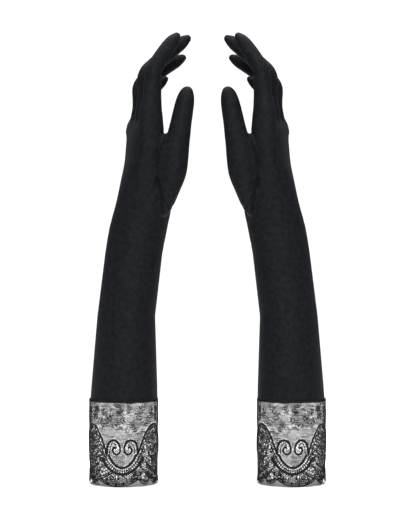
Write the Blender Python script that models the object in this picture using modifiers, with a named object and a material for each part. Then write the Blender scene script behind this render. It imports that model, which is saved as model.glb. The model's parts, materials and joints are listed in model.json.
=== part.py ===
"""A pair of opera gloves with lace cuffs, shaped as on two raised arms, fingers up and palms facing.

Metres, +Z up. One glove is described in a glove frame: its origin is the middle of the cuff's lower
edge, +X points from the back of the hand to the palm, and -Y points to the thumb's side. The left
glove stands at -X and the right one is its mirror image at +X, so the pair's middle is X = 0.
Every piece is a shell of fabric, open where the arm, the hand or a finger goes in. Where the glove
bends, its shell is parted: the moving part ends in a bulb that is round about the joint's axis, and
the part before it ends in a rim low enough for the bend.
"""

from collections import namedtuple
from math import asin, cos, degrees, pi, radians, sin, tan

import bmesh
import bpy
from mathutils import Vector

# ---- driving dimensions, in metres and degrees ----
CUFF_TO_MIDDLE = 0.088  # each cuff's centre to the pair's middle
FABRIC = 0.0008  # thickness of the satin knit and of the lace
PLAY = 0.0005  # gap between pieces that meet
TURN = 14  # how far the hand is turned, so that a little of its back faces -Y
BULB = (55, 28)  # how far round its axis a finger's bulb runs, in two steps
WRIST_BULB = (40, 20)

# A section across the arm or the hand: its half size palmward (along X before it is turned) and
# sideways, and how square its corners are (2 is an ellipse).
Section = namedtuple("Section", "height x y palmward sideways turn square", defaults=(0, 2.0))

HEM_HEIGHT = 0.087
WRIST = Section(0.2665, 0.0152, 0, 0.0305, 0.0265)
WRIST_RIM = 0.0135  # the sleeve's upper edge below the wrist's axis
CUFF = [
    Section(0.0, 0.0, 0, 0.0357, 0.0332),
    Section(HEM_HEIGHT - PLAY, 0.0, 0, 0.0362, 0.0336),
]
SLEEVE = [
    Section(HEM_HEIGHT, 0.0, 0, 0.0362, 0.0336),
    Section(0.1155, 0.0005, 0, 0.0336, 0.0312),
    Section(0.1495, 0.0012, 0, 0.0312, 0.0290),
    Section(0.1915, 0.0042, 0, 0.0300, 0.0278),
    Section(0.2335, 0.0093, 0, 0.0300, 0.0270),
    Section(WRIST.height - WRIST_RIM, 0.0136, 0, 0.0308, 0.0268),
]
HAND = [
    WRIST,
    Section(0.2925, 0.0208, 0, 0.0295, 0.0280, 3, 2.1),
    Section(0.3175, 0.0212, 0, 0.0232, 0.0325, 9, 2.3),
    Section(0.3385, 0.0212, 0, 0.0180, 0.0365, 13, 2.5),
    Section(0.3595, 0.0225, 0, 0.0166, 0.0380, TURN, 2.6),
    Section(0.3875, 0.0230, 0, 0.0148, 0.0380, TURN, 2.6),
]
THUMB_HINGE = Section(0.3635, 0.0580, -0.0265, 0.0118, 0.0108)
THUMB_RIM = 0.0055  # the gusset's upper edge below the thumb's axis
GUSSET = [
    Section(0.2895, 0.0465, -0.0200, 0.0040, 0.0060),
    Section(0.3055, 0.0480, -0.0230, 0.0100, 0.0110),
    Section(0.3210, 0.0508, -0.0240, 0.0148, 0.0135),
    Section(0.3365, 0.0526, -0.0250, 0.0155, 0.0135),
    Section(0.3521, 0.0550, -0.0260, 0.0145, 0.0125),
    Section(THUMB_HINGE.height - THUMB_RIM, 0.0565, -0.0264, 0.0134, 0.0118),
]
THUMB = [
    THUMB_HINGE,
    Section(0.3830, 0.0622, -0.0275, 0.0108, 0.0102),
    Section(0.3985, 0.0645, -0.0280, 0.0095, 0.0092),
    Section(0.4065, 0.0660, -0.0280, 0.0074, 0.0074),
    Section(0.4110, 0.0670, -0.0280, 0.0045, 0.0045),
    Section(0.4130, 0.0676, -0.0280, 0.0015, 0.0015),
]

# A finger lies in a plane across the hand's breadth, offset thumbward from the hand's middle. It
# leans by base_lean up to its middle joint and by tip_lean beyond it, counted from upright to
# palmward. Its root and its middle joint are the glove's two bends.
Finger = namedtuple(
    "Finger", "offset root_height base_lean base_length tip_lean tip_length half_width"
)
FINGERS = {
    "index": Finger(0.0285, 0.3850, 3, 0.0455, 36, 0.0480, 0.0087),
    "middle": Finger(0.0095, 0.3885, -4, 0.0395, 51, 0.0640, 0.0087),
    "ring": Finger(-0.0095, 0.3830, -8, 0.0358, 59, 0.0595, 0.0084),
    "little": Finger(-0.0275, 0.3740, 3, 0.0335, 53, 0.0363, 0.0077),
}
ROOT_THICKNESS = 0.0112  # half the finger's depth at its root
ROOT_RIM = 0.0065  # the hand's upper edge below a finger's root
FULLEST_BEND = 88  # how far a finger's middle joint may bend from straight
TIP_TAPER = [(0.40, 0.96), (0.72, 0.82), (0.90, 0.56), (0.975, 0.28)]

SCALLOP_RISE = 0.0080
SCALLOP_REPEATS = 3  # each is one large scallop and two small ones
SCALLOP_START = 13.5  # degrees round the cuff from palmward to the first small scallop
SCALLOPS = ((0.0, 0.20, 0.65), (0.20, 0.42, 0.65), (0.42, 1.0, 1.0))  # start, end, depth

BAND_HEIGHT = 0.008  # the tape inside the seam that joins the cuff to the sleeve
WEB_WIDTH = 0.0009
WEB_HEIGHT = 0.0030

ROUND = 24  # sides of the arm and the hand
CUFF_SIDES = 60
FINGER_SIDES = 10


def clear_scene():
    for thing in list(bpy.data.objects):
        bpy.data.objects.remove(thing, do_unlink=True)


def collection(name):
    made = bpy.data.collections.new(name)
    bpy.context.scene.collection.children.link(made)
    return made


def material(name, colour, roughness):
    made = bpy.data.materials.new(name)
    made.use_nodes = True
    shader = made.node_tree.nodes["Principled BSDF"]
    shader.inputs["Base Color"].default_value = (*colour, 1)
    shader.inputs["Roughness"].default_value = roughness
    shader.inputs["Metallic"].default_value = 0
    return made


def palmward(turn):
    return Vector((cos(radians(turn)), sin(radians(turn)), 0))


def thumbward(turn):
    return Vector((sin(radians(turn)), -cos(radians(turn)), 0))


def centre_of(section):
    return Vector((section.x, section.y, section.height))


def rounded(angle, square):
    """The point at an angle on a circle whose corners are pulled out: 2 leaves it round."""
    power = 2 / square
    c, s = cos(angle), sin(angle)
    return (
        abs(c) ** power * (1 if c >= 0 else -1),
        abs(s) ** power * (1 if s >= 0 else -1),
    )


def section_ring(section, sides, arc=None, grow=0.0):
    """Points round a section, or along an arc of it from palmward (angle 0) to thumbward."""
    start, end = arc or (0, 2 * pi)
    steps = sides if arc is None else sides + 1
    ring = []
    for k in range(steps):
        across, along = rounded(start + (end - start) * k / sides, section.square)
        ring.append(
            centre_of(section)
            + palmward(section.turn) * across * (section.palmward + grow)
            + thumbward(section.turn) * along * (section.sideways + grow)
        )
    return ring


def bulb_sections(hinge, angles):
    """Sections below a hinge, on a bulb that is round about the sideways axis through it."""
    return [
        hinge._replace(
            height=hinge.height - hinge.palmward * sin(radians(angle)),
            palmward=hinge.palmward * cos(radians(angle)),
            sideways=hinge.sideways * cos(radians(angle)),
        )
        for angle in angles
    ]


def loft(name, rings, closed=True, end_point=None, capped=False):
    """A surface through rings of equally many points, facing out. Rings run upwards."""
    mesh = bmesh.new()
    rows = [[mesh.verts.new(point) for point in ring] for ring in rings]
    count = len(rings[0])
    last = count if closed else count - 1
    for lower, upper in zip(rows, rows[1:]):
        for k in range(last):
            n = (k + 1) % count
            mesh.faces.new((lower[k], upper[k], upper[n], lower[n]))
    if end_point is not None:
        top = mesh.verts.new(end_point)
        for k in range(last):
            mesh.faces.new((rows[-1][k], top, rows[-1][(k + 1) % count]))
    if capped:
        mesh.faces.new(rows[-1][::-1])
        mesh.faces.new(rows[0])
    data = bpy.data.meshes.new(name)
    mesh.to_mesh(data)
    mesh.free()
    return data


def shell(thing, thickness=FABRIC):
    """Gives an open surface its fabric thickness, on the inside."""
    solidify = thing.modifiers.new("fabric", "SOLIDIFY")
    solidify.thickness = thickness
    solidify.offset = -1
    solidify.use_even_offset = True


def cut(thing, cutter):
    boolean = thing.modifiers.new("cut", "BOOLEAN")
    boolean.operation = "DIFFERENCE"
    boolean.object = cutter


class Glove:
    """One glove: places pieces described in the glove frame, mirrored for the right hand."""

    def __init__(self, side, parts, cutters, finishes):
        self.side = side
        self.mirror = 1 if side == "left" else -1
        self.parts, self.cutters, self.finishes = parts, cutters, finishes
        self.bodies = {}

    def world(self, point):
        return Vector((self.mirror * (point.x - CUFF_TO_MIDDLE), point.y, point.z))

    def body(self, name, hinge, parent=None):
        """An empty on the body's joint, which its pieces hang from."""
        empty = bpy.data.objects.new(f"{self.side}_{name}_joint", None)
        empty.empty_display_size = 0.01
        self.parts.objects.link(empty)
        place = self.world(hinge)
        self.bodies[name] = (empty, place)
        if parent:
            empty.parent, parent_place = self.bodies[parent]
            place = place - parent_place
        empty.location = place

    def piece(self, name, data, body, finish="satin"):
        """Moves a mesh from the glove frame to its body's joint, and makes it an object."""
        empty, hinge = self.bodies[body]
        for vertex in data.vertices:
            vertex.co = self.world(vertex.co) - hinge
        if self.mirror < 0:
            data.flip_normals()
        thing = bpy.data.objects.new(f"{self.side}_{name}", data)
        self.parts.objects.link(thing)
        thing.parent = empty
        data.materials.append(self.finishes[finish])
        data.shade_smooth()
        data.set_sharp_from_angle(angle=radians(40))
        return thing

    def cutter(self, name, data):
        for vertex in data.vertices:
            vertex.co = self.world(vertex.co)
        if self.mirror < 0:
            data.flip_normals()
        thing = bpy.data.objects.new(f"{self.side}_{name}", data)
        self.cutters.objects.link(thing)
        thing.hide_render = True
        thing.display_type = "WIRE"
        return thing


def scallop_rise(angle):
    """How far the cuff's lower edge rises above its lowest point, at an angle round the cuff."""
    repeat = 360 / SCALLOP_REPEATS
    along = ((degrees(angle) - SCALLOP_START) % repeat) / repeat
    for start, end, depth in SCALLOPS:
        if start <= along < end:
            bulge = sin(pi * (along - start) / (end - start))
            return SCALLOP_RISE * (1 - depth * bulge ** 0.7)
    return SCALLOP_RISE


def add_arm(glove):
    """The lace cuff, the tape inside its seam and the satin sleeve."""
    glove.body("arm", Vector((0, 0, 0)))
    rings = [section_ring(section, CUFF_SIDES) for section in CUFF]
    rings[0] = [
        point + Vector((0, 0, scallop_rise(2 * pi * k / CUFF_SIDES)))
        for k, point in enumerate(rings[0])
    ]
    shell(glove.piece("lace_cuff", loft("cuff", rings), "arm", "lace"))

    hem = SLEEVE[0]
    inside = FABRIC + PLAY + 0.0007
    band = [
        hem._replace(
            height=HEM_HEIGHT + part * BAND_HEIGHT,
            palmward=hem.palmward - inside,
            sideways=hem.sideways - inside,
        )
        for part in (-0.5, 0.5)
    ]
    rings = [section_ring(section, ROUND) for section in band]
    shell(glove.piece("cuff_band", loft("band", rings), "arm", "elastic"))

    rings = [section_ring(section, ROUND) for section in SLEEVE]
    shell(glove.piece("sleeve", loft("sleeve", rings), "arm"))


def root_height(offset):
    """The height of the finger roots at an offset from the hand's middle, thumbward."""
    places = sorted((finger.offset, finger.root_height) for finger in FINGERS.values())
    if offset <= places[0][0]:
        return places[0][1]
    for (low, low_height), (high, high_height) in zip(places, places[1:]):
        if offset <= high:
            return low_height + (high_height - low_height) * (offset - low) / (high - low)
    return places[-1][1]


def hand_rings(sides, arc=None, grow=0.0):
    """The hand's rings, from the bulb at the wrist to the rim that the fingers rise from."""
    sections = bulb_sections(WRIST, WRIST_BULB) + HAND
    rings = [section_ring(section, sides, arc, grow) for section in sections]
    top = HAND[-1]
    for point in rings[-1]:
        offset = (point - centre_of(top)).dot(thumbward(top.turn))
        point.z = root_height(offset) - ROOT_RIM
    return rings


def add_hand(glove):
    """The palm and the back, and the gusset sewn into the palm that the thumb rises from."""
    glove.body("hand", centre_of(WRIST), "arm")
    side_gap = radians(0.6)
    half = ROUND // 2
    arcs = {
        "palm": (-pi / 2 + side_gap, pi / 2 - side_gap),
        "back": (pi / 2 + side_gap, 3 * pi / 2 - side_gap),
    }
    hole_rings = [section_ring(part, FINGER_SIDES, grow=PLAY) for part in GUSSET + THUMB[1:4]]
    hole = glove.cutter("thumb_hole_cutter", loft("hole", hole_rings, capped=True))
    for name, arc in arcs.items():
        surface = loft(name, hand_rings(half, arc), closed=False)
        piece = glove.piece(name, surface, "hand")
        shell(piece)
        cut(piece, hole)

    rings = [section_ring(section, FINGER_SIDES) for section in GUSSET]
    gusset = glove.piece("thumb_gusset", loft("gusset", rings), "hand")
    shell(gusset)
    hand = glove.cutter("hand_cutter", loft("hand", hand_rings(ROUND, grow=PLAY), capped=True))
    cut(gusset, hand)


def add_thumb(glove):
    """The thumb stall, which swings towards the index finger and away from it."""
    glove.body("thumb", centre_of(THUMB_HINGE), "hand")
    sections = bulb_sections(THUMB_HINGE, BULB) + THUMB
    rings = [section_ring(section, FINGER_SIDES) for section in sections]
    tip = centre_of(THUMB[-1]) + Vector((0, 0, 0.0003))
    shell(glove.piece("thumb_stall", loft("thumb", rings, end_point=tip), "thumb"))


def leaning(lean):
    """(the finger's direction, its palm side's direction) for a lean from upright."""
    upright, palm = Vector((0, 0, 1)), palmward(TURN)
    along = upright * cos(radians(lean)) + palm * sin(radians(lean))
    face = palm * cos(radians(lean)) - upright * sin(radians(lean))
    return along, face


def finger_ring(centre, lean, half_width, half_thick, palm_drop=0.0, back_drop=0.0):
    """A ring square to a finger, or slanted by dropping its palm side and its back side."""
    along, face = leaning(lean)
    ring = []
    for k in range(FINGER_SIDES):
        angle = 2 * pi * k / FINGER_SIDES
        share = (cos(angle) + 1) / 2
        drop = back_drop + (palm_drop - back_drop) * share
        reach, side = half_thick * cos(angle), half_width * sin(angle)
        ring.append(centre + face * reach + thumbward(TURN) * side - along * drop)
    return ring


def finger_bulb(hinge, lean, half_width, half_thick, lean_below):
    """Rings on a bulb round a hinge, which open towards the part that the finger rises from."""
    rings = []
    for angle in BULB:
        tilt = lean + (lean_below - lean) * 0.5 * angle / BULB[0]
        along, _ = leaning(tilt)
        size = cos(radians(angle))
        centre = hinge - along * half_thick * sin(radians(angle))
        rings.append(finger_ring(centre, tilt, half_width * size, half_thick * size))
    return rings


def add_finger(glove, name):
    """A finger stall in two parts: the base, up to the middle joint, and the closed tip."""
    finger = FINGERS[name]
    root = centre_of(HAND[-1]) + thumbward(TURN) * finger.offset
    root.z = finger.root_height
    base_along, _ = leaning(finger.base_lean)
    tip_along, _ = leaning(finger.tip_lean)
    joint = root + base_along * finger.base_length
    width, thick = finger.half_width, finger.half_width * 0.98

    glove.body(f"{name}_base", root, "hand")
    rings = finger_bulb(root, finger.base_lean, width, ROOT_THICKNESS, 0)
    rings.append(finger_ring(root, finger.base_lean, width, ROOT_THICKNESS))
    rings.append(finger_ring(root + base_along * 0.013, finger.base_lean, width, thick * 1.05))
    palm_drop = thick * tan(radians(FULLEST_BEND / 2)) + PLAY
    back_drop = thick * sin(radians(33))
    rings.append(finger_ring(joint, finger.base_lean, width, thick, palm_drop, back_drop))
    shell(glove.piece(f"{name}_base", loft("base", rings), f"{name}_base"))

    glove.body(f"{name}_tip", joint, f"{name}_base")
    rings = finger_bulb(joint, finger.tip_lean, width, thick, finger.base_lean)
    rings.append(finger_ring(joint, finger.tip_lean, width, thick))
    for part, size in TIP_TAPER:
        centre = joint + tip_along * finger.tip_length * part
        rings.append(finger_ring(centre, finger.tip_lean, width * size, width * size * 0.92))
    end = joint + tip_along * finger.tip_length
    shell(glove.piece(f"{name}_tip", loft("tip", rings, end_point=end), f"{name}_tip"))


def add_webs(glove):
    """The fourchettes' crotches: straps sewn from palm to back between neighbouring fingers."""
    names = list(FINGERS)
    top = HAND[-1]
    for first, second in zip(names, names[1:]):
        one, two = FINGERS[first], FINGERS[second]
        offset = (one.offset + two.offset) / 2
        place = centre_of(top) + thumbward(TURN) * offset
        edge = 1 - abs(offset / top.sideways) ** top.square
        length = 2 * (top.palmward * edge ** (1 / top.square) - FABRIC - 2 * PLAY)
        place.z = min(one.root_height, two.root_height) - ROOT_RIM - WEB_HEIGHT
        mesh = bmesh.new()
        bmesh.ops.create_cube(mesh, size=1)
        for vertex in mesh.verts:
            along, across, up = vertex.co
            vertex.co = (
                place
                + palmward(TURN) * along * length
                - thumbward(TURN) * across * WEB_WIDTH
                + Vector((0, 0, up * WEB_HEIGHT))
            )
        data = bpy.data.meshes.new("web")
        mesh.to_mesh(data)
        mesh.free()
        glove.piece(f"{first}_{second}_fourchette", data, "hand")


def main():
    clear_scene()
    parts = collection("opera_gloves")
    cutters = collection("opera_glove_cutters")
    finishes = {
        "satin": material("black_satin_knit", (0.012, 0.013, 0.016), 0.5),
        "lace": material("black_lace", (0.008, 0.008, 0.009), 0.7),
        "elastic": material("black_elastic", (0.010, 0.010, 0.011), 0.8),
    }
    for side in ("left", "right"):
        glove = Glove(side, parts, cutters, finishes)
        add_arm(glove)
        add_hand(glove)
        add_thumb(glove)
        for name in FINGERS:
            add_finger(glove, name)
        add_webs(glove)


main()
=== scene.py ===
"""Opera gloves in black satin knit with corded lace cuffs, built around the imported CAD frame.

Metres, +Z up. Each glove is modelled once, as the left one, in a glove frame: its origin is the
middle of the cuff's lower edge, +X points from the back of the hand to the palm, and -Y points to
the thumb's side. The right glove is its mirror image.
"""

import json
import random
from collections import namedtuple
from math import atan2, cos, degrees, hypot, pi, radians, sin, sqrt

import bmesh
import bpy
import numpy as np
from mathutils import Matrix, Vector
from mathutils.bvhtree import BVHTree


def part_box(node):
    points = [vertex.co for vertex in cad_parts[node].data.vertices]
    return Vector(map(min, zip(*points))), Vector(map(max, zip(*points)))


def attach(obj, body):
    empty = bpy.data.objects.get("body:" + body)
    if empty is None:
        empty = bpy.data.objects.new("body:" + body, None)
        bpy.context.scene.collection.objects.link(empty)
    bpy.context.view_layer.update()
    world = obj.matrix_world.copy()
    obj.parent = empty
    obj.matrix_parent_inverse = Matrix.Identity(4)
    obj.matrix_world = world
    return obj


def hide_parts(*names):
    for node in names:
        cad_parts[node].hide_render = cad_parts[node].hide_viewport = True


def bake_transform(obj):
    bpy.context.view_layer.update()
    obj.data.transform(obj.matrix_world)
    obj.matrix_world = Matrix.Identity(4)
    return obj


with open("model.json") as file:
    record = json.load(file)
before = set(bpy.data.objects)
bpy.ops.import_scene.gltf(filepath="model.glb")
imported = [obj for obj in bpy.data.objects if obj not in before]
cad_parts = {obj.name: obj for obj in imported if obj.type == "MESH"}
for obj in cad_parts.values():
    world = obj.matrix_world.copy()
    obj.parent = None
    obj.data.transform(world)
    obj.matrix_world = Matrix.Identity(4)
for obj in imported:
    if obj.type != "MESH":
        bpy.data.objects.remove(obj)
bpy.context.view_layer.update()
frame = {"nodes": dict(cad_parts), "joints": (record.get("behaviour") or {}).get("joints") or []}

# ---- driving dimensions, in metres and degrees ----
CUFF_TO_MIDDLE = -sum(corner[0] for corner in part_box("left_lace_cuff")) / 2
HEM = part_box("left_sleeve")[0][2]
TURN = 14  # how far the hand is turned about +Z
VOXEL = 0.0013
FABRIC = 0.0006

Section = namedtuple("Section", "height x y palmward sideways turn square", defaults=(0, 2.0))

ARM_AND_HAND = [
    Section(HEM - 0.012, 0.0, 0, 0.0362, 0.0336),
    Section(HEM, 0.0, 0, 0.0362, 0.0336),
    Section(0.1155, 0.0003, 0, 0.0338, 0.0312),
    Section(0.1495, 0.0010, 0, 0.0314, 0.0290),
    Section(0.1915, 0.0042, 0, 0.0300, 0.0278),
    Section(0.2335, 0.0095, 0, 0.0300, 0.0270),
    Section(0.2665, 0.0152, 0, 0.0305, 0.0265),
    Section(0.2925, 0.0208, 0, 0.0292, 0.0280, 3, 2.1),
    Section(0.3175, 0.0208, 0, 0.0236, 0.0325, 9, 2.3),
    Section(0.3385, 0.0208, 0, 0.0184, 0.0362, 13, 2.5),
    Section(0.3560, 0.0214, 0, 0.0168, 0.0372, TURN, 2.6),
    Section(0.3700, 0.0218, 0, 0.0150, 0.0365, TURN, 2.6),
    Section(0.3800, 0.0222, 0, 0.0100, 0.0320, TURN, 2.4),
]
THUMB = [
    Section(0.2800, 0.0430, -0.0170, 0.0030, 0.0040),
    Section(0.2895, 0.0462, -0.0200, 0.0062, 0.0075),
    Section(0.3055, 0.0484, -0.0225, 0.0112, 0.0118),
    Section(0.3210, 0.0510, -0.0240, 0.0148, 0.0132),
    Section(0.3365, 0.0530, -0.0250, 0.0152, 0.0130),
    Section(0.3521, 0.0552, -0.0260, 0.0142, 0.0122),
    Section(0.3635, 0.0582, -0.0265, 0.0124, 0.0112),
    Section(0.3750, 0.0604, -0.0270, 0.0113, 0.0104),
    Section(0.3870, 0.0627, -0.0275, 0.0107, 0.0098),
    Section(0.3985, 0.0648, -0.0280, 0.0097, 0.0090),
    Section(0.4062, 0.0660, -0.0280, 0.0078, 0.0074),
    Section(0.4108, 0.0668, -0.0280, 0.0053, 0.0052),
    Section(0.4132, 0.0673, -0.0280, 0.0020, 0.0020),
]
THUMB_WEB = [
    Section(0.3200, 0.0400, -0.0250, 0.0100, 0.0080),
    Section(0.3450, 0.0440, -0.0260, 0.0090, 0.0090),
    Section(0.3580, 0.0462, -0.0262, 0.0070, 0.0085),
    Section(0.3640, 0.0470, -0.0265, 0.0030, 0.0060),
]
# The thumb's set-in seam as the back of the hand shows it: distance palmward and height.
THUMB_SEAM_FRONT = [
    (0.0467, 0.3612), (0.0400, 0.3508), (0.0364, 0.3382), (0.0357, 0.3270), (0.0369, 0.3120),
    (0.0412, 0.2985), (0.0490, 0.2876),
]
THUMB_SEAM_BACK = [
    (0.0464, -0.0180, 0.3600), (0.0470, -0.0100, 0.3450), (0.0480, -0.0060, 0.3263),
    (0.0490, -0.0100, 0.3050), (0.0490, -0.0240, 0.2860),
]
FINGER_NAMES = ("index", "middle", "ring", "little")
FINGER_SIZE = {"index": 1.0, "middle": 1.0, "ring": 0.965, "little": 0.90}
KNUCKLES = {"index": 0.0010, "middle": 0.0010, "ring": 0.0026, "little": 0.0042}
METACARPAL = 0.034  # how far a finger's column runs down into the hand


def palmward(turn=TURN):
    return np.array([cos(radians(turn)), sin(radians(turn)), 0.0])


def thumbward(turn=TURN):
    return np.array([sin(radians(turn)), -cos(radians(turn)), 0.0])


UP = np.array([0.0, 0.0, 1.0])


def direction(lean):
    return palmward() * sin(radians(lean)) + UP * cos(radians(lean))


def from_world(point):
    """A point of the left glove, from the frame's coordinates to the glove frame."""
    return np.array(point, float) + [CUFF_TO_MIDDLE, 0, 0]


def to_world(points, side):
    """Points of the glove frame, placed as the left or the right glove."""
    points = np.array(points, float).reshape(-1, 3)
    mirror = 1 if side == "left" else -1
    return np.stack([mirror * (points[:, 0] - CUFF_TO_MIDDLE), points[:, 1], points[:, 2]], 1)


def joint_place(name):
    for joint in frame["joints"]:
        if joint["name"] == name:
            return from_world(joint["pos_m"])
    raise ValueError(name)


# ---- curves and meshes ----


def through(points, count):
    """Evenly spaced points on a smooth curve through the given ones (Catmull-Rom)."""
    points = np.array(points, float)
    ends = [2 * points[0] - points[1], *points, 2 * points[-1] - points[-2]]
    fine = []
    for a, b, c, d in zip(ends, ends[1:], ends[2:], ends[3:]):
        for t in np.arange(24) / 24:
            bend = 2 * a - 5 * b + 4 * c - d
            twist = -a + 3 * b - 3 * c + d
            fine.append(0.5 * (2 * b + (c - a) * t + bend * t * t + twist * t ** 3))
    fine = np.array(fine + [points[-1]])
    return resample(fine, count)


def resample(line, count):
    line = np.array(line, float)
    steps = np.linalg.norm(np.diff(line, axis=0), axis=1)
    along = np.concatenate([[0], np.cumsum(steps)])
    wanted = np.linspace(0, along[-1], count)
    return np.stack([np.interp(wanted, along, line[:, k]) for k in range(line.shape[1])], 1)


def length_of(line):
    return float(np.linalg.norm(np.diff(np.array(line, float), axis=0), axis=1).sum())


def grid_faces(rows, columns, closed=True):
    """Quads between rows of points, each row closed into a ring or left open."""
    faces = []
    last = columns if closed else columns - 1
    for r in range(rows - 1):
        for c in range(last):
            n = (c + 1) % columns
            low, high = r * columns, (r + 1) * columns
            faces.append((low + c, high + c, high + n, low + n))
    return faces


def end_caps(rows, columns):
    last = rows * columns
    return [tuple(range(columns)), tuple(range(last - 1, last - columns - 1, -1))]


def tube(rings):
    """A closed tube through rings of points: (points, faces)."""
    rows, columns = len(rings), len(rings[0])
    points = [point for ring in rings for point in ring]
    return points, grid_faces(rows, columns) + end_caps(rows, columns)


def unit_rows(vectors):
    return vectors / np.maximum(np.linalg.norm(vectors, axis=1), 1e-9)[:, None]


def make_mesh(name, points, faces):
    data = bpy.data.meshes.new(name)
    data.from_pydata([tuple(point) for point in points], [], faces)
    data.validate()
    data.update()
    return data


def make_object(name, data):
    thing = bpy.data.objects.new(name, data)
    bpy.context.scene.collection.objects.link(thing)
    return thing


def evaluated_mesh(thing):
    graph = bpy.context.evaluated_depsgraph_get()
    return bpy.data.meshes.new_from_object(thing.evaluated_get(graph))


def read_vertices(data, attribute):
    flat = np.empty(len(data.vertices) * 3, np.float32)
    data.vertices.foreach_get(attribute, flat)
    return flat.reshape(-1, 3).astype(float)


def corners_of_faces(data):
    return [tuple(polygon.vertices) for polygon in data.polygons]


# ---- the satin glove's form ----


def section_ring(values, sides=56):
    """Points round a section given as an array of Section's values."""
    height, x, y, palm_half, side_half, turn, square = values
    ring = []
    for k in range(sides):
        angle = 2 * pi * k / sides
        c, s = cos(angle), sin(angle)
        across, along = [abs(v) ** (2 / square) * (1 if v >= 0 else -1) for v in (c, s)]
        ring.append(
            np.array([x, y, height])
            + palmward(turn) * across * palm_half
            + thumbward(turn) * along * side_half
        )
    return ring


def lofted(sections, count):
    return tube([section_ring(values) for values in through(sections, count)])


class Finger:
    """A finger's centreline, bent at its root and its middle joint, and its thickness along it."""

    def __init__(self, name):
        self.name = name
        self.root = joint_place(f"left_{name}_root")
        self.joint = joint_place(f"left_{name}_middle_joint")
        base = self.joint - self.root
        self.base_length = float(np.linalg.norm(base))
        self.base_lean = degrees(atan2(base @ palmward(), base[2]))
        tip = from_world(self.furthest_point(f"left_{name}_tip")) - self.joint
        self.tip_length = float(np.linalg.norm(tip))
        self.tip_lean = degrees(atan2(tip @ palmward(), tip[2]))
        self.size = FINGER_SIZE[name]

    def furthest_point(self, node):
        points = read_vertices(frame["nodes"][node].data, "co")
        joint = self.joint - [CUFF_TO_MIDDLE, 0, 0]
        return points[np.argmax(np.linalg.norm(points - joint, axis=1))]

    def lean(self, s):
        """The lean at a distance s from the root joint along the finger."""
        into_base = np.clip((s + 0.020) / 0.030, 0, 1)
        into_tip = np.clip((s - self.base_length) / 0.020 + 0.5, 0, 1)
        curl = np.clip((s - self.base_length) / self.tip_length, 0, 1)
        base = self.base_lean * into_base * into_base * (3 - 2 * into_base)
        bend = into_tip * into_tip * (3 - 2 * into_tip)
        return base + (self.tip_lean - 4 - base) * bend + 9 * curl ** 2

    def centreline(self, count=90):
        """Arrays of distance s, centre and lean, from the metacarpal to the fingertip."""
        end = self.base_length + self.tip_length
        s = np.linspace(-METACARPAL, end, count)
        lean = np.radians([self.lean(value) for value in s])
        step = np.diff(s)[0]
        heading = np.outer(np.sin(lean), palmward()) + np.outer(np.cos(lean), UP)
        centre = np.cumsum(heading * step, axis=0)
        at_root = np.array([np.interp(0, s, centre[:, k]) for k in range(3)])
        centre = centre - at_root + self.root
        return s, centre, lean

    def thickness(self, s):
        """(half the depth from palm to back, half the breadth) at a distance s."""
        along = (
            -METACARPAL, -0.016, -0.004, 0.008, 0.020, self.base_length,
            self.base_length + 0.45 * self.tip_length, self.base_length + 0.78 * self.tip_length,
            self.base_length + self.tip_length,
        )
        depth = (0.0125, 0.0138, 0.0126, 0.0108, 0.0097, 0.0089, 0.0084, 0.0074, 0.0058)
        breadth = (0.0088, 0.0090, 0.0087, 0.0082, 0.0079, 0.0080, 0.0076, 0.0068, 0.0054)
        left = self.base_length + self.tip_length - s
        cap = 0.018
        point = sqrt(max(1 - ((cap - left) / cap) ** 2, 0.0)) if left < cap else 1.0
        half_depth = np.interp(s, along, depth) * self.size * point
        half_breadth = np.interp(s, along, breadth) * self.size * point
        return half_depth, half_breadth

    def around(self, centre, lean, s, angle):
        """The surface point beside a centre, at an angle from its palm side, thumbward."""
        half_depth, half_breadth = self.thickness(s)
        face = palmward() * cos(lean) - UP * sin(lean)
        return centre + face * half_depth * cos(angle) + thumbward() * half_breadth * sin(angle)

    def ring(self, centre, lean, s, sides=28):
        return [self.around(centre, lean, s, 2 * pi * k / sides) for k in range(sides)]

    def solid(self):
        s, centre, lean = self.centreline()
        keep = s < self.base_length + self.tip_length - 0.0004
        return tube([self.ring(c, a, d) for d, c, a in zip(s[keep], centre[keep], lean[keep])])

    def middle_joint_direction(self):
        return direction((self.base_lean + self.tip_lean) / 2)

    def surface_point(self, s, angle):
        along, centre, lean = self.centreline()
        place = np.array([np.interp(s, along, centre[:, k]) for k in range(3)])
        return self.around(place, np.interp(s, along, lean), s, angle)


fingers = [Finger(name) for name in FINGER_NAMES]
thumb_cut = np.array([0.0588, -0.0267, 0.3668])
thumb_axis = np.array([0.230, -0.030, 1.0]) / np.linalg.norm([0.230, -0.030, 1.0])


def web_sections(finger, other):
    """The web between two fingers, up to their crotch."""
    middle = (finger.root + other.root) / 2
    top = crotch_height(finger, other)
    x, y = middle[0], middle[1]
    return [
        Section(0.352, x, y, 0.0120, 0.0060, TURN),
        Section(0.366, x, y, 0.0118, 0.0058, TURN),
        Section(top - 0.004, x, y, 0.0092, 0.0050, TURN),
        Section(top, x, y, 0.0040, 0.0040, TURN),
    ]


def crotch_height(finger, other):
    return (finger.root[2] + other.root[2]) / 2 + 0.001


def crotch_above_root(finger):
    """How far above its root joint a finger comes free of its neighbours."""
    place = fingers.index(finger)
    neighbours = fingers[max(place - 1, 0):place] + fingers[place + 1:place + 2]
    highest = max(crotch_height(finger, other) for other in neighbours)
    return max(highest - finger.root[2], 0.0) + 0.0012


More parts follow.
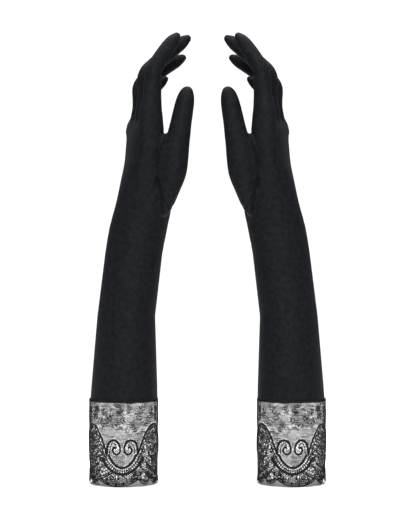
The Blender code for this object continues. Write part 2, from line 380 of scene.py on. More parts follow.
def glove_form():
    """The left glove's whole outer surface as one mesh, open at the hem."""
    solids = [lofted(ARM_AND_HAND, 150), lofted(THUMB, 70), lofted(THUMB_WEB, 20)]
    solids += [finger.solid() for finger in fingers]
    solids += [lofted(web_sections(a, b), 14) for a, b in zip(fingers, fingers[1:])]
    points, faces = [], []
    for solid_points, solid_faces in solids:
        start = len(points)
        points += list(solid_points)
        faces += [tuple(start + k for k in face) for face in solid_faces]
    thing = make_object("glove_form", make_mesh("glove_form", points, faces))
    remesh = thing.modifiers.new("remesh", "REMESH")
    remesh.mode = "VOXEL"
    remesh.voxel_size = VOXEL
    smooth = thing.modifiers.new("smooth", "SMOOTH")
    smooth.iterations = 7
    data = evaluated_mesh(thing)
    bpy.data.objects.remove(thing, do_unlink=True)
    with_folds(data)
    cut_off_below(data, HEM)
    return data


def cut_off_below(data, height):
    mesh = bmesh.new()
    mesh.from_mesh(data)
    everything = mesh.verts[:] + mesh.edges[:] + mesh.faces[:]
    place, up = Vector((0, 0, height)), Vector((0, 0, 1))
    bmesh.ops.bisect_plane(mesh, geom=everything, plane_co=place, plane_no=up, clear_inner=True)
    mesh.to_mesh(data)
    mesh.free()


def with_folds(data):
    """Moves the form's points along their normals: soft knuckles, folds and the thumb's seam."""
    points, normals = read_vertices(data, "co"), read_vertices(data, "normal")
    height = np.zeros(len(points))
    for finger in fingers:
        knuckle = finger.surface_point(0.001, pi)
        height += KNUCKLES[finger.name] * near(points, knuckle, 0.0105)
        for place, depth in ((-0.003, 0.00030), (0.0015, 0.00035), (0.006, 0.00025)):
            inside = finger.surface_point(finger.base_length + place, 0)
            height -= depth * near(points, inside, 0.0028)
    for level, depth, phase in ((0.254, 0.00022, 0.0), (0.262, 0.00020, 1.7), (0.271, 0.00018, 3.6)):
        wave = points[:, 2] - level - 0.0035 * np.sin(95 * points[:, 0] + 70 * points[:, 1] + phase)
        reach = 0.5 + 0.5 * np.cos(np.arctan2(points[:, 1], points[:, 0] - 0.014) + phase)
        height -= depth * reach * np.exp(-((wave / 0.0022) ** 2))
    tree = surface_tree(data)
    front = seen_from_thumb_side(tree, THUMB_SEAM_FRONT)
    back = [tuple(tree.find_nearest(Vector(p))[0]) for p in through(THUMB_SEAM_BACK, 90)]
    for groove, depth in ((front, 0.00110), (back, 0.00060)):
        height -= depth * np.exp(-((distance_to(points, groove) / 0.0014) ** 2))
    data.vertices.foreach_set("co", (points + normals * height[:, None]).astype(np.float32).ravel())
    data.update()


def seen_from_thumb_side(tree, line, count=90):
    """Where a line drawn as (distance palmward, height) falls on the thumb's side of the form."""
    places = []
    for x, z in through(line, count):
        hit = tree.ray_cast(Vector((x, -0.1, z)), Vector((0, 1, 0)))[0]
        if hit is not None:
            places.append(tuple(hit))
    return places


def surface_tree(data):
    places = [tuple(vertex.co) for vertex in data.vertices]
    return BVHTree.FromPolygons(places, corners_of_faces(data))


def near(points, centre, radius):
    distance = np.linalg.norm(points - centre, axis=1)
    return np.exp(-((distance / radius) ** 2))


def distance_to(points, line):
    """Each point's distance to the nearest point of a line."""
    nearest = np.full(len(points), 1.0)
    for place in line:
        nearest = np.minimum(nearest, np.linalg.norm(points - place, axis=1))
    return nearest


# ---- raised seams, laid on the form ----


def seam_cord(tree, line, radius=0.00032, sides=6):
    """A thin welt lying on the form along a line: (points, normals, faces)."""
    spine = through(line, max(int(length_of(line) / 0.0012), 4))
    placed = [tree.find_nearest(Vector(point)) for point in spine]
    spine = resample([tuple(hit[0]) for hit in placed], len(spine))
    ups = np.array([tuple(tree.find_nearest(Vector(point))[1]) for point in spine])
    ups = running_mean(ups, 5)
    sideways = unit_rows(np.cross(unit_rows(np.gradient(spine, axis=0)), ups))
    points, normals = [], []
    for centre, up, side in zip(spine, ups, sideways):
        for k in range(sides):
            angle = 2 * pi * k / sides
            outward = side * cos(angle) + up * sin(angle)
            points.append(centre + side * 1.3 * radius * cos(angle) + up * radius * sin(angle))
            normals.append(outward)
    return points, normals, grid_faces(len(spine), sides)


def running_mean(values, width):
    kernel = np.ones(width) / width
    padded = np.pad(values, ((width // 2, width // 2), (0, 0)), mode="edge")
    mean = np.stack([np.convolve(padded[:, k], kernel, "valid") for k in range(3)], 1)
    return unit_rows(mean)


def finger_seam(finger, angle, start, end):
    """A line along a finger at an angle from its palm side, positive thumbward."""
    span = finger.base_length + finger.tip_length
    return [finger.surface_point(s, angle) for s in np.linspace(start, span * end, 14)]


def seams(tree):
    """Every seam line of the left glove, with its welt's thickness."""
    lines = [(seen_from_thumb_side(tree, THUMB_SEAM_FRONT), 0.00038), (THUMB_SEAM_BACK, 0.00030)]
    for finger in fingers:
        for angle in (0.30 * pi, 0.70 * pi, -0.30 * pi, -0.70 * pi):
            outer = finger.name == "index" and angle > 0 or finger.name == "little" and angle < 0
            if outer and abs(angle) > 0.5 * pi:
                continue
            start = -0.024 if outer else 0.004
            lines.append((finger_seam(finger, angle, start, 0.985), 0.00030))
    side_seam = [
        (0.002, 0.034, HEM + 0.001), (0.004, 0.031, 0.150), (0.010, 0.028, 0.230),
        (0.016, 0.027, 0.270), (0.014, 0.034, 0.320), (0.012, 0.037, 0.350), (0.013, 0.036, 0.366),
    ]
    lines.append((side_seam, 0.00032))
    return lines


# ---- the glove's pieces ----

Piece = namedtuple("Piece", "name bodies start end")


def satin_pieces():
    """The satin's pieces, each with the names of two bodies and two points about the joint between
    them.
    """
    wrist = joint_place("left_wrist")
    pieces = [Piece("sleeve_and_hand", ("arm", "hand"), wrist - UP * 0.026, wrist + UP * 0.026)]
    start, end = thumb_cut + thumb_axis * 0.001, thumb_cut + thumb_axis * 0.013
    pieces.append(Piece("thumb", ("hand", "thumb"), start, end))
    for finger in fingers:
        along = direction(finger.base_lean)
        cut = crotch_above_root(finger)
        start, end = finger.root + along * (cut + 0.001), finger.root + along * (cut + 0.012)
        pieces.append(Piece(f"{finger.name}_base", ("hand", f"{finger.name}_base"), start, end))
        bend = finger.middle_joint_direction()
        start, end = finger.joint - bend * 0.0075, finger.joint + bend * 0.0085
        bodies = (f"{finger.name}_base", f"{finger.name}_tip")
        pieces.append(Piece(f"{finger.name}_tip", bodies, start, end))
    return pieces


def piece_at(centres):
    """The index in satin_pieces() that each place on the form belongs to."""
    which = np.zeros(len(centres), int)
    lines = [finger.centreline(60)[1] for finger in fingers]
    reach = np.stack([distance_to(centres, line) for line in lines], 1)
    nearest = np.argmin(reach, axis=1)
    for k, finger in enumerate(fingers):
        base = (centres - finger.root) @ direction(finger.base_lean) > crotch_above_root(finger)
        bend = finger.middle_joint_direction()
        tip = (centres - finger.joint) @ bend > -0.0085
        mine = (nearest == k) & base & (centres[:, 2] > finger.root[2] - 0.004)
        which[mine] = 2 + 2 * k
        which[mine & tip] = 3 + 2 * k
    thumb_side = 0.0455 + 0.08 * (centres[:, 2] - thumb_cut[2])
    past = (centres - thumb_cut) @ thumb_axis > 0
    on_thumb = (centres[:, 0] > thumb_side) & past & (centres[:, 2] < 0.418)
    which[on_thumb] = 1
    return which


def cloth_shell(points, normals, faces):
    """A surface given a cloth's thickness inwards and closed round its edges."""
    used = sorted({k for face in faces for k in face})
    new = {old: k for k, old in enumerate(used)}
    outer = [tuple(new[k] for k in face) for face in faces]
    count = len(used)
    inner = [tuple(k + count for k in reversed(face)) for face in outer]
    edges = {(a, b) for face in outer for a, b in zip(face, face[1:] + face[:1])}
    rims = [(b, a, a + count, b + count) for a, b in edges if (b, a) not in edges]
    places, directions = points[used], normals[used]
    both = np.concatenate([places, places - directions * FABRIC])
    return both, np.concatenate([directions, -directions]), outer + inner + rims


def placed(name, side, points, normals, faces, materials, kinds=None):
    """A smooth mesh object on one side, with its own normals kept."""
    if side == "right":
        faces = [tuple(reversed(face)) for face in faces]
        if normals is not None:
            normals = np.array(normals) * [-1, 1, 1]
    data = make_mesh(name, to_world(points, side), faces)
    for material in materials:
        data.materials.append(material)
    if kinds is not None:
        data.polygons.foreach_set("material_index", kinds)
    data.shade_smooth()
    if normals is not None and len(data.vertices) == len(normals):
        data.normals_split_custom_set_from_vertices([tuple(normal) for normal in normals])
    return make_object(name, data)


def build_satin(materials):
    data = glove_form()
    points, normals = read_vertices(data, "co"), read_vertices(data, "normal")
    faces = corners_of_faces(data)
    centres = np.array([points[list(face)].mean(axis=0) for face in faces])
    tree = surface_tree(data)
    cords = [seam_cord(tree, line, radius) for line, radius in seams(tree)]
    which = piece_at(centres)
    satin = {}
    for number, piece in enumerate(satin_pieces()):
        mine = [faces[k] for k in np.flatnonzero(which == number)]
        shell = cloth_shell(points, normals, mine)
        all_points, all_normals, all_faces = [list(part) for part in shell]
        kinds = [0] * len(all_faces)
        for cord_points, cord_normals, cord_faces in cords:
            places = np.array([np.mean([cord_points[k] for k in face], axis=0) for face in cord_faces])
            own = np.flatnonzero(piece_at(places) == number)
            if not len(own):
                continue
            start = len(all_points)
            used = sorted({k for f in own for k in cord_faces[f]})
            new = {old: start + k for k, old in enumerate(used)}
            all_points += [cord_points[k] for k in used]
            all_normals += [cord_normals[k] for k in used]
            all_faces += [tuple(new[k] for k in cord_faces[f]) for f in own]
            kinds += [1] * len(own)
        for side in ("left", "right"):
            name = f"{side}_satin_{piece.name}"
            thing = placed(name, side, all_points, all_normals, all_faces, materials, kinds)
            start, end = to_world([piece.start, piece.end], side)
            bodies = [f"{side}_{body}" for body in piece.bodies]
            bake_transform(thing)
            satin[side, piece.name] = thing
    return satin


# ---- lace ----

# The lace is drawn flat, in millimetres: across is the arc length from the motif's middle,
# positive towards the palm, and v is the height. One repeat is a third of the way round.
REPEATS = 3
REPEAT = 73.0
MOTIF_MIDDLE = 0.3
EDGE_SHIFT = -4.8  # the scallops are centred this far from the motif
TOP = HEM * 1000 + 0.6
ARCH = [
    (36.5, 63.8), (32.0, 62.8), (27.8, 59.0), (23.6, 52.6), (20.6, 46.0), (17.8, 38.6),
    (16.2, 33.4),
]
SPIRAL = [
    (16.0, 33.6), (15.9, 40.0), (13.4, 46.2), (8.8, 48.6), (4.4, 46.6), (2.3, 41.4),
    (2.3, 36.6), (5.0, 33.9), (8.5, 35.2), (9.4, 38.9), (7.4, 41.4), (5.8, 39.6),
]
INNER_U = [
    (-14.0, 33.8), (-10.8, 27.8), (-6.6, 23.0), (-2.4, 20.6), (2.4, 20.6), (6.6, 23.0),
    (10.8, 27.8), (14.0, 33.8),
]
OUTER_U = [
    (-22.4, 30.4), (-17.8, 22.8), (-12.0, 17.5), (-6.0, 14.2), (0.0, 13.2), (6.0, 14.2),
    (12.0, 17.5), (17.8, 22.8), (22.4, 30.4),
]
NET_THREAD = (0.62, 0.34, 0.34)  # in each repeat: closer at the front, open at the back
NET_ROW = 0.95
NET_PITCH = 0.90
NOTCH = 21.2
MEDALLIONS = [(11.0, 9.6), (29.1, 13.6)]
ROSETTES = [(27.6, 47.0), (36.5, 29.0), (22.6, 37.2)]
chance = random.Random(11)

# The repeats in which an element shows. Repeat 0 is at the front, and 1 and 2 meet in the middle
# of the far side, which is plain net with sprays between the two arches at the sides.
EVERYWHERE = (0, 1, 2)
FRONT = (0,)
ARCH_SHOWN = {1: (0, 2), -1: (0, 1)}


def on_side(line, sign):
    """A line drawn on the palm's side of the motif, on that side (1) or the other (-1)."""
    return [(sign * across, v) for across, v in line]


def spiral_on(sign, count=120):
    return through(on_side(SPIRAL, sign), count)


def shown_on(sign, across):
    """The repeats that show what stands at a distance from the motif's middle, on one side."""
    return FRONT if across < 16.4 else ARCH_SHOWN[sign]


def lower_edge(across):
    """The height of the scalloped edge, for a distance from the motif's middle."""
    across = abs((across - EDGE_SHIFT + REPEAT / 2) % REPEAT - REPEAT / 2)
    if across <= NOTCH:
        return 0.9 + 6.8 * (across / NOTCH) ** 2.3
    half = REPEAT / 2 - NOTCH
    return 2.6 + 5.6 * (abs(across - (NOTCH + REPEAT / 2) / 2) / (half / 2)) ** 2


arch_line = through(ARCH, 60)[::-1]
u_line = through(OUTER_U, 60)


def is_dense(across, v, repeat=0):
    """Whether a place lies in the heavy lace between the arches and the scalloped edge."""
    if abs(across) < 16.4:
        return repeat == 0 and v < np.interp(across, u_line[:, 0], u_line[:, 1])
    shown = ARCH_SHOWN[1 if across > 0 else -1]
    return repeat in shown and v < np.interp(abs(across), arch_line[:, 0], arch_line[:, 1])


class Lace:
    """Closed solids drawn flat, then wrapped round the cuff."""

    def __init__(self):
        self.shown = EVERYWHERE
        self.parts = []

    def add(self, points, faces):
        self.parts.append((points, faces, self.shown))

    def cord(self, line, width, lift=0.25, thick=None, sides=6, step=0.9, closed=False):
        """A round or flattened cord along a flat line."""
        line = np.array(line, float)
        count = max(int(length_of(line) / step), 2) + 1
        spine = resample(line, count)
        along = np.gradient(spine, axis=0)
        if closed:
            spine = spine[:-1]
            along = (np.roll(spine, -1, axis=0) - np.roll(spine, 1, axis=0)) / 2
        along = unit_rows(along)
        thick = thick or width
        points = []
        for (x, v), (dx, dv) in zip(spine, along):
            for k in range(sides):
                angle = 2 * pi * (k + 0.5) / sides
                out, up = cos(angle) * width / 2, sin(angle) * thick / 2
                points.append((x - dv * out, v + dx * out, lift + up))
        rows = len(spine)
        faces = [tuple(reversed(face)) for face in grid_faces(rows, sides)]
        if closed:
            last = (rows - 1) * sides
            for k in range(sides):
                n = (k + 1) % sides
                faces.append((last + k, last + n, n, k))
        else:
            faces += end_caps(rows, sides)
        self.add(points, faces)

    def cell(self, corner, hole, lift=0.1, thick=0.36, sides=12):
        """A flat cell with a round hole: corner(a, b) places its square, a and b from 0 to 1."""
        rim, edge = [], []
        for k in range(sides):
            angle = 2 * pi * (k + 0.5) / sides
            c, s = cos(angle), sin(angle)
            reach = 0.5 / max(abs(c), abs(s))
            edge.append(corner(0.5 + c * reach, 0.5 + s * reach))
            rim.append(corner(0.5 + c * hole / 2, 0.5 + s * hole / 2))
        low, high = lift - thick / 2, lift + thick / 2
        points = [(*p, high) for p in edge] + [(*p, high) for p in rim]
        points += [(*p, low) for p in rim] + [(*p, low) for p in edge]
        faces = grid_faces(4, sides)
        last = 3 * sides
        for k in range(sides):
            n = (k + 1) % sides
            faces.append((last + k, k, n, last + n))
        self.add(points, faces)

    def band(self, one_edge, other_edge, columns, rows, hole, lift=0.15):
        """A band of holed cells ruled between two edges."""
        one = through(one_edge, columns + 1)
        other = through(other_edge, columns + 1)

        def corner_of(column, row):
            def corner(a, b):
                t = column + a
                k = min(int(t), columns - 1)
                part = t - k
                start = one[k] * (1 - part) + one[k + 1] * part
                end = other[k] * (1 - part) + other[k + 1] * part
                across = (row + b) / rows
                return tuple(start * (1 - across) + end * across)
            return corner

        for column in range(columns):
            for row in range(rows):
                self.cell(corner_of(column, row), hole, lift)

    def leaf(self, base, tip, width, lift=0.3):
        """A pointed leaf, raised along its middle."""
        base, tip = np.array(base, float), np.array(tip, float)
        along = tip - base
        side = np.array([-along[1], along[0]]) / np.linalg.norm(along)
        rows = 7
        points = []
        for k in range(rows):
            t = 0.02 + 0.96 * k / (rows - 1)
            half = width / 2 * sin(pi * t) ** 0.8
            middle = base + along * t
            for out, up in ((-1, 0.0), (-0.5, 0.22), (0, 0.34), (0.5, 0.22), (1, 0.0), (0, -0.2)):
                points.append((*(middle + side * half * out), lift + up))
        self.add(points, grid_faces(rows, 6) + end_caps(rows, 6))

    def flower(self, centre, radius, petals=6, turn=0.0):
        for k in range(petals):
            angle = turn + 2 * pi * k / petals
            out = np.array([cos(angle), sin(angle)])
            self.leaf(np.array(centre) + out * radius * 0.22, np.array(centre) + out * radius,
                      radius * 0.62)
        self.ring(centre, radius * 0.24, 0.6)

    def ring(self, centre, radius, width, lift=0.3):
        angles = 2 * pi * np.arange(13) / 12
        line = [(centre[0] + radius * cos(a), centre[1] + radius * sin(a)) for a in angles]
        self.cord(line, width, lift, step=2 * pi * radius / 12, closed=True)

    def wrapped(self, name, side, material, repeat=True):
        """The lace as an object on one side's cuff."""
        flat, faces = [], []
        for number in range(REPEATS if repeat else 1):
            move = MOTIF_MIDDLE + number * REPEAT if repeat else 0
            for part_points, part_faces, shown in self.parts:
                if number not in shown:
                    continue
                start = len(flat)
                flat += [(across + move, v, lift) for across, v, lift in part_points]
                faces += [tuple(start + k for k in face) for face in part_faces]
        return placed(name, side, on_cuff(np.array(flat)), None, faces, [material])


def on_cuff(flat):
    """Flat lace points, wrapped round the cuff in the glove frame, in metres."""
    angle = pi / 2 - flat[:, 0] * 2 * pi / (REPEATS * REPEAT)
    rise = np.clip(flat[:, 1] / TOP, 0, 1)
    lift = flat[:, 2] / 1000
    palm_half = 0.0354 + 0.0006 * rise + lift
    side_half = 0.0329 + 0.0005 * rise + lift
    return np.stack([palm_half * np.cos(angle), -side_half * np.sin(angle), flat[:, 1] / 1000], 1)


def solid_bands(repeat):
    """The flat lines where a repeat's net is left out, with the half width to leave out."""
    lines = []
    for sign in (1, -1):
        if repeat in ARCH_SHOWN[sign]:
            lines.append((through(on_side(ARCH, sign), 60), 0.9))
    if repeat != 0:
        return lines
    inner, outer = through(INNER_U, 60), through(OUTER_U, 60)
    lines += [(inner * (1 - gap) + outer * gap, 0.9) for gap in np.linspace(0, 1, 7)]
    for sign in (1, -1):
        spiral = spiral_on(sign, 80)
        lines.append((spiral, 0.9))
        lines.append((offset(spiral, sign * 2.1)[:45], 1.6))
    return lines


def net_lace():
    """The fine net's zigzag threads, which meet at their peaks, and the heavier runs of weft."""
    net, weft = Lace(), Lace()
    columns = int(REPEAT / NET_PITCH)
    pitch = REPEAT / columns
    for repeat in EVERYWHERE:
        net.shown = weft.shown = (repeat,)
        bands = solid_bands(repeat)
        for row in range(int(TOP / NET_ROW) + 1):
            level = TOP - row * NET_ROW
            places = []
            for k in range(columns + 1):
                up = 1 if (k + row) % 2 else -1
                places.append((k * pitch - REPEAT / 2, level + up * NET_ROW / 2))
            for run in net_runs(places, bands, repeat):
                zigzag(net, run, NET_THREAD[repeat])
                add_weft(weft, run, level, repeat)
    return net, weft


def net_runs(places, bands, repeat):
    """The stretches of a row's places where the net is whole."""
    runs = [[]]
    for place in places:
        if net_is_open(place, bands) and not is_dense(*place, repeat):
            runs[-1].append(place)
        elif runs[-1]:
            runs.append([])
    return [run for run in runs if len(run) > 1]


def add_weft(lace, run, level, repeat):
    """Short heavier threads along a row, at random."""
    start = chance.randrange(0, 5)
    while start < len(run) - 3:
        length = chance.randrange(4, 14)
        part = run[start:start + length:2]
        plain = repeat == 0 and is_light(part[0])
        if chance.random() < 0.62 and not plain and len(part) > 1:
            line = [(x, level + chance.uniform(-0.12, 0.12)) for x, v in part]
            zigzag(lace, line, chance.choice((0.30, 0.42, 0.58)))
        start += length + chance.randrange(0, 6)


def zigzag(lace, run, width):
    """A three-sided thread through the given places."""
    points = []
    for (x, v) in run:
        points += [(x, v - width / 2, 0.0), (x, v + width / 2, 0.0), (x, v, 0.22)]
    rows = len(run)
    faces = [tuple(reversed(face)) for face in grid_faces(rows, 3)]
    lace.add(points, faces + end_caps(rows, 3))


def is_light(place):
    """The plain net inside the heart, between the spirals and the inner curve."""
    return abs(place[0]) < 14 and 20 < place[1] < 36


def net_is_open(place, bands):
    across, v = place
    if v < lower_edge(across) + 0.6 or v > TOP:
        return False
    for line, half in bands:
        if np.min(np.hypot(line[:, 0] - across, line[:, 1] - v)) < half:
            return False
    return all(hypot(x - across, y - v) >= 0.95 for x, y in EYELETS)


def along_line(line, spacing):
    line = np.array(line, float)
    return [tuple(place) for place in resample(line, max(int(length_of(line) / spacing), 2) + 1)]


EYELET_LINES = [
    [(-1.0, 63.6), (6.4, 59.9), (14.4, 56.0), (20.6, 61.4), (24.0, 62.2)],
    [(-11.6, 47.6), (-5.6, 50.4), (-0.4, 51.8), (7.4, 55.6)],
    [(-12.0, 62.0), (-4.6, 61.6)],
    [(-7.8, 82.2), (-4.0, 79.6), (-1.0, 81.0)],
    [(16.0, 72.0), (20.0, 76.0), (25.4, 78.0)],
    [(-24.0, 70.0), (-18.0, 72.0), (-14.0, 76.0)],
    [(22.0, 66.0), (27.0, 68.4), (32.0, 68.0)],
    [(-33.0, 68.0), (-27.0, 65.0), (-22.0, 60.0)],
]
EYELETS = [place for line in EYELET_LINES for place in along_line(through(line, 30), 2.0)]
EYELETS += [
    (6.8 + 1.9 * column + 0.9 * (row % 2), 66.0 + 1.7 * row)
    for row in range(9)
    for column in range(-2, 3)
    if abs(column + 0.5 * (row % 2)) + abs(row - 5) * 0.55 < 2.9
]


def heavy_lace():
    """The dense lace under the arches: cells with holes of many sizes."""
    lace = Lace()
    pitch = REPEAT / 28
    for column in range(28):
        for row in range(27):
            across = column * pitch - REPEAT / 2
            v = row * pitch + (pitch / 2 if column % 2 else 0)
            middle = (across + pitch / 2, v + pitch / 2)
            if not is_dense(*middle, 0) or v < lower_edge(middle[0]) + 0.2:
                continue
            if near_a_motif(middle):
                continue
            hole = chance.choice((0.22, 0.34, 0.48, 0.66, 0.82))
            lace.shown = shown_on(1 if middle[0] > 0 else -1, abs(middle[0]))
            lace.cell(lambda a, b, x=across, y=v: (x + a * pitch, y + b * pitch), hole, 0.0, 0.3, 8)
    return lace


def near_a_motif(place):
    x, v = abs(place[0]), place[1]
    motifs = [(centre, 4.6) for centre in MEDALLIONS] + [(centre, 3.2) for centre in ROSETTES]
    return any(hypot(x - centre[0], v - centre[1]) < reach for centre, reach in motifs)


def corded_lace():
    """The thick cords: arches, spirals, the two curves, medallions and eyelets."""
    lace = Lace()
    for sign in (1, -1):
        lace.shown = ARCH_SHOWN[sign]
        arch = through(ARCH, 70)
        lace.cord(on_side(arch, sign), 2.2, 0.45, 1.2, 8)
        inner_arch = [(x + 2.6, v - 2.2) for x, v in arch if x + 2.6 < 36.4]
        lace.cord(on_side(inner_arch, sign), 0.8, 0.35, 0.7)
        leg = [(22.4, 30.4), (26.5, 24.0), (31.5, 20.4), (36.5, 19.2)]
        lace.cord(through(on_side(leg, sign), 30), 1.1, 0.4, 0.9)
        stem = [(20.6, 33.0), (25.0, 38.0), (31.0, 40.5), (36.5, 41.0)]
        lace.cord(through(on_side(stem, sign), 30), 1.0, 0.4, 0.8)
        lace.shown = FRONT
        spiral = spiral_on(sign)
        lace.cord(spiral, 2.2, 0.45, 1.2, 8, 0.6)
        lace.cord(offset(spiral, sign * 3.6)[2:62], 0.9, 0.4, 0.8, 6, 0.6)
        for x, v in MEDALLIONS:
            lace.shown = shown_on(sign, x)
            lace.ring((sign * x, v), 4.5, 1.0)
            lace.ring((sign * x, v), 1.9, 1.0)
    lace.shown = FRONT
    lace.cord(through(INNER_U, 80), 2.2, 0.45, 1.2, 8)
    lace.cord(through(OUTER_U, 90), 2.2, 0.45, 1.2, 8)
    small_arch = [(-4.6, 5.2), (-4.0, 9.0), (0.0, 10.8), (4.0, 9.0), (4.6, 5.2)]
    lace.cord(through(small_arch, 24), 0.9, 0.4)
    lace.shown = EVERYWHERE
    for x, v in EYELETS:
        lace.ring((x, v), 1.0, 0.40, 0.15)
    return lace


def offset(line, distance):
    along = unit_rows(np.gradient(line, axis=0))
    return line + np.stack([-along[:, 1], along[:, 0]], 1) * distance


def edge_lace():
    """The scalloped border: two cords with short bars between them."""
    lace = Lace()
    spread = np.linspace(-REPEAT / 2, REPEAT / 2, 147)
    lower = np.array([(x, lower_edge(x) + 0.2) for x in spread])
    upper = np.array([(x, lower_edge(x) + 2.7) for x in spread])
    lace.cord(lower, 1.3, 0.35, 1.0, 8, 0.7)
    lace.cord(upper, 0.9, 0.35, 0.8, 6, 0.8)
    for k in range(1, 146, 2):
        lace.cord([lower[k], upper[min(k + 1, 146)]], 0.42, 0.2, 0.4, 5, 1.3)
    return lace


def beaded_lace():
    """The bands of round holes between the cords, and the medallions' rings of holes."""
    lace = Lace()
    lace.shown = FRONT
    inner, outer = through(INNER_U, 60), through(OUTER_U, 60)
    lace.band(inner * 0.86 + outer * 0.14, inner * 0.12 + outer * 0.88, 22, 2, 0.72)
    for sign in (1, -1):
        lace.shown = FRONT
        spiral = spiral_on(sign)
        outer, inner = offset(spiral, sign * 0.8), offset(spiral, sign * 3.5)
        lace.band(outer[:66:4], inner[:66:4], 9, 1, 0.76)
        for x, v in MEDALLIONS:
            lace.shown = shown_on(sign, x)
            for k in range(12):
                start, turn = 2 * pi * k / 12, 2 * pi / 12

                def corner(a, b, x=x, v=v, start=start, turn=turn, sign=sign):
                    angle, radius = start + a * turn, 4.5 - 2.4 * b
                    return (sign * (x + radius * cos(angle)), v + radius * sin(angle))
                lace.cell(corner, 0.60)
    return lace


def flowered_lace():
    """Rosettes under the arches, and leaves and sprays on the net."""
    lace = Lace()
    for sign in (1, -1):
        lace.shown = ARCH_SHOWN[sign]
        for x, v in (ROSETTES[0], ROSETTES[2]):
            lace.flower((sign * x, v), 3.6, 6, 0.3 * sign)
        for x, v in MEDALLIONS:
            lace.shown = shown_on(sign, x)
            lace.flower((sign * x, v), 1.7, 5)
    lace.shown = ARCH_SHOWN[1]
    lace.flower(ROSETTES[1], 4.2, 8)
    lace.shown = EVERYWHERE
    sprays = [
        [(-12.0, 62.0), (-4.0, 66.0), (4.0, 70.0)], [(14.0, 56.0), (11.0, 62.0), (9.0, 68.0)],
        [(-22.0, 60.0), (-17.0, 68.0), (-10.0, 74.0)], [(24.0, 62.0), (20.0, 70.0), (19.0, 78.0)],
        [(-34.0, 70.0), (-30.0, 76.0), (-24.0, 80.0)], [(34.0, 69.0), (32.0, 76.0), (34.0, 82.0)],
    ]
    for spray in sprays:
        stem = through(spray, 12)
        lace.cord(stem, 0.45, 0.25, 0.4, 5, 1.0)
        for k in range(1, 11, 2):
            along = stem[k + 1] - stem[k - 1]
            along /= np.linalg.norm(along)
            for sign in (1, -1):
                side = np.array([-along[1], along[0]]) * sign
                reach = 3.4 + 0.5 * chance.random()
                lace.leaf(stem[k], stem[k] + (along * 0.6 + side * 0.8) * reach, 1.15, 0.2)
    lace.ring((-3.4, 77.0), 3.0, 0.6)
    lace.flower((-3.4, 77.0), 2.4, 6)
    lace.shown = FRONT
    for row, count in ((31.4, 4), (27.8, 3), (24.6, 2)):
        for k in range(count):
            x = (k - (count - 1) / 2) * 4.0
            lace.leaf((x - 0.9, row), (x + 0.9, row), 0.7, 0.1)
    return lace


def hem_band():
    """The narrow ribbed tape that joins the lace to the satin, with a row of overlock stitches."""
    lace = Lace()
    around = REPEATS * REPEAT
    for level in (-0.9, -0.3, 0.3, 0.9):
        line = [(x, TOP + level) for x in np.linspace(0, around, 181)]
        lace.cord(line, 0.62, -0.35, 0.7, 6, 1.3)
    for x in np.arange(0, around, 1.15):
        lace.cord([(x, TOP - 1.1), (x + 0.5, TOP + 1.2)], 0.30, 0.06, 0.3, 5, 1.2)
    return lace


# ---- materials ----


def node_material(name):
    material = bpy.data.materials.new(name)
    material.use_nodes = True
    tree = material.node_tree
    shader = tree.nodes["Principled BSDF"]
    place = tree.nodes.new("ShaderNodeTexCoord")
    return material, tree, shader, place.outputs["Object"]


def scaled(tree, coordinate, scale):
    mapping = tree.nodes.new("ShaderNodeMapping")
    mapping.inputs["Scale"].default_value = scale
    tree.links.new(coordinate, mapping.inputs["Vector"])
    return mapping.outputs["Vector"]


def textured(tree, coordinate, kind, **values):
    texture = tree.nodes.new(kind)
    for name, value in values.items():
        texture.inputs[name].default_value = value
    tree.links.new(coordinate, texture.inputs["Vector"])
    return texture.outputs["Fac"]


def noise(tree, coordinate, scale, detail=3.0):
    return textured(tree, coordinate, "ShaderNodeTexNoise", Scale=scale, Detail=detail)


def waves(tree, coordinate, scale, distortion):
    waved = textured(tree, coordinate, "ShaderNodeTexWave", Scale=scale, Distortion=distortion)
    waved.node.bands_direction = "DIAGONAL"
    return waved


def between(tree, factor, low, high, start=0.3, end=0.7):
    ramp = tree.nodes.new("ShaderNodeValToRGB")
    for stop, position, colour in zip(ramp.color_ramp.elements, (start, end), (low, high)):
        stop.position = position
        stop.color = (*colour, 1)
    tree.links.new(factor, ramp.inputs["Fac"])
    return ramp.outputs["Color"]


def ranged(tree, factor, low, high):
    spread = tree.nodes.new("ShaderNodeMapRange")
    spread.inputs["To Min"].default_value = low
    spread.inputs["To Max"].default_value = high
    tree.links.new(factor, spread.inputs["Value"])
    return spread.outputs["Result"]


def raised(tree, shader, height, strength, distance):
    relief = tree.nodes.new("ShaderNodeBump")
    relief.inputs["Strength"].default_value = strength
    relief.inputs["Distance"].default_value = distance
    tree.links.new(height, relief.inputs["Height"])
    tree.links.new(relief.outputs["Normal"], shader.inputs["Normal"])


def satin_knit():
    """Black stretch satin: fine upright wales, with a soft sheen."""
    material, tree, shader, place = node_material("black_satin_knit")
    wales = noise(tree, scaled(tree, place, (1, 1, 0.10)), 1500, 2)
    mottling = noise(tree, place, 240, 4)
    colour = between(tree, mottling, (0.0026, 0.0029, 0.0039), (0.0078, 0.0087, 0.0114))
    tree.links.new(colour, shader.inputs["Base Color"])
    tree.links.new(ranged(tree, wales, 0.56, 0.68), shader.inputs["Roughness"])
    shader.inputs["Specular IOR Level"].default_value = 0.10
    shader.inputs["Sheen Weight"].default_value = 0.02
    shader.inputs["Sheen Roughness"].default_value = 0.45
    shader.inputs["Sheen Tint"].default_value = (0.62, 0.66, 0.75, 1)
    raised(tree, shader, wales, 0.22, 0.00012)
    return material


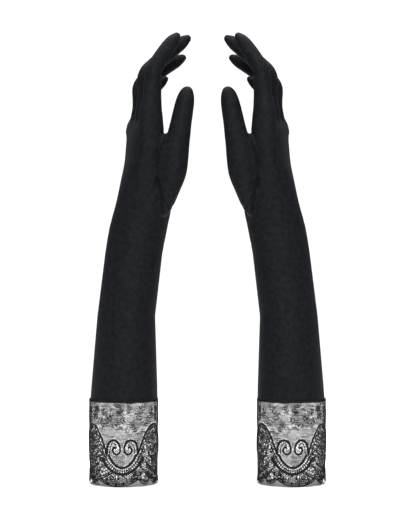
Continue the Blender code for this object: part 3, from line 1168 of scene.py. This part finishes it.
def thread(name, low, high, roughness, twist):
    """Black thread with a fine twist."""
    material, tree, shader, place = node_material(name)
    strands = waves(tree, place, twist, 2.5)
    tree.links.new(between(tree, noise(tree, place, 420, 3), low, high), shader.inputs["Base Color"])
    tree.links.new(ranged(tree, strands, roughness, roughness + 0.14), shader.inputs["Roughness"])
    shader.inputs["Specular IOR Level"].default_value = 0.16
    raised(tree, shader, strands, 0.5, 0.0001)
    return material


# ---- the glove, twice ----

satin = satin_knit()
# The seam thread is near-black, darker than the satin: partly the thread's own black and partly
# painted shade of the seam grooves.
seam_thread = thread("seam_thread", (0.0012, 0.0012, 0.0015), (0.0030, 0.0032, 0.0038), 0.70, 900)
satin_parts = build_satin([satin, seam_thread])
for side in ("left", "right"):
    hand = ["sleeve", "palm", "back", "thumb_gusset"]
    hand += ["index_middle_fourchette", "middle_ring_fourchette", "ring_little_fourchette"]
    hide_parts(*[f"{side}_{node}" for node in hand])
    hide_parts(f"{side}_thumb_stall")
    for name in FINGER_NAMES:
        for part in ("base", "tip"):
            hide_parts(f"{side}_{name}_{part}")

lace_thread = thread("lace_thread", (0.0045, 0.0045, 0.005), (0.011, 0.011, 0.012), 0.60, 700)
cord_thread = thread("cord_thread", (0.0035, 0.0035, 0.004), (0.009, 0.009, 0.010), 0.52, 420)
tape = thread("elastic_tape", (0.004, 0.004, 0.005), (0.009, 0.009, 0.010), 0.60, 300)
net, weft = net_lace()
LACE = {
    "lace_net": (net, lace_thread),
    "lace_weft": (weft, lace_thread),
    "lace_ground": (heavy_lace(), lace_thread),
    "lace_cords": (corded_lace(), cord_thread),
    "lace_edge": (edge_lace(), cord_thread),
    "lace_holes": (beaded_lace(), lace_thread),
    "lace_flowers": (flowered_lace(), cord_thread),
}
for side in ("left", "right"):
    made = {}
    for name, (lace, material) in LACE.items():
        thing = lace.wrapped(f"{side}_{name}", side, material)
        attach(thing, f"{side}_arm")
        made[name] = thing
    thing = hem_band().wrapped(f"{side}_hem_tape", side, tape, repeat=False)
    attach(thing, f"{side}_arm")
    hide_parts(f"{side}_cuff_band")
    main = made.pop("lace_net")
    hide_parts(f"{side}_lace_cuff")


# ---- floor, light and camera ----


def studio_floor():
    rings = []
    for radius in np.linspace(0.02, 1.2, 24):
        angles = 2 * pi * np.arange(96) / 96
        rings.append([(radius * cos(a), radius * sin(a), 0.0) for a in angles])
    points = [point for ring in rings for point in ring]
    faces = grid_faces(len(rings), 96) + [tuple(range(95, -1, -1))]
    return make_object("studio_floor", make_mesh("studio_floor", points, faces))


def pale_floor():
    material, tree, shader, place = node_material("pale_floor")
    tone = between(tree, noise(tree, place, 3, 2), (0.90, 0.90, 0.90), (0.93, 0.93, 0.93))
    tree.links.new(tone, shader.inputs["Base Color"])
    shader.inputs["Roughness"].default_value = 0.9
    shader.inputs["Specular IOR Level"].default_value = 0.1
    return material


def soft_light(name, place, aim, size, power):
    lamp = bpy.data.lights.new(name, "AREA")
    lamp.shape = "RECTANGLE"
    lamp.size, lamp.size_y = size
    lamp.energy = power
    holder = make_object(name, lamp)
    holder.location = place
    holder.rotation_euler = (Vector(aim) - Vector(place)).to_track_quat("-Z", "Y").to_euler()


floor = studio_floor()
floor.data.materials.append(pale_floor())
bpy.context.scene.view_settings.view_transform = "Standard"
world = bpy.data.worlds.new("studio")
bpy.context.scene.world = world
world.use_nodes = True
sky = world.node_tree.nodes["Background"].inputs
sky["Color"].default_value = (1, 1, 1, 1)
seen = world.node_tree.nodes.new("ShaderNodeLightPath").outputs["Is Camera Ray"]
world.node_tree.links.new(ranged(world.node_tree, seen, 0.10, 1.1), sky["Strength"])
soft_light("key", (0.0, -0.95, 0.70), (0, 0, 0.40), (0.35, 0.6), 6)
soft_light("top", (0.0, 0.0, 2.4), (0, 0, 0), (3.0, 3.0), 150)

lens = bpy.data.cameras.new("studio_camera")
lens.sensor_fit = "VERTICAL"
lens.sensor_height = 36
lens.lens = 105.5
camera = make_object("studio_camera", lens)
camera.location = (0.0005, -1.6, 0.23385)
camera.rotation_euler = (pi / 2, 0, 0)
bpy.context.scene.camera = camera
